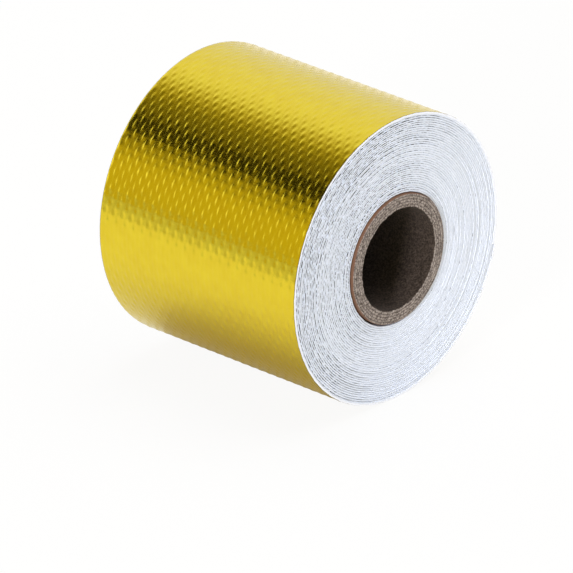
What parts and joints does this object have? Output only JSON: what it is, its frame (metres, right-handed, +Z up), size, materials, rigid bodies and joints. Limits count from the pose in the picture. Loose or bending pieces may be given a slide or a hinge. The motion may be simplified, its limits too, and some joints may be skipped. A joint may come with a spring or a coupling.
{
  "type": "reflective heat tape roll",
  "caption": "Roll of gold-faced woven heat tape with its paper release liner, wound on a cardboard core that shows a little past each end.",
  "frame": {"origin": "on the floor under the middle of the roll, which lies on its side", "axes": "+X along the roll's axis, towards the end that the picture shows; +Z up; -Y towards the side of the gold face that the picture shows"},
  "size_m": [0.0512, 0.0584, 0.0583],
  "materials": {
    "gold_faced_tape": "bright gold metallised film over woven glass cloth",
    "core_cardboard": "cut grey-brown chipboard with a kraft outer ply",
    "white_cut_edges": "cut edges of white release paper and glass yarn"
  },
  "bodies": {
    "root": {"tape_roll": "gold_faced_tape", "cardboard_core": "core_cardboard"}
  },
  "joints": []
}
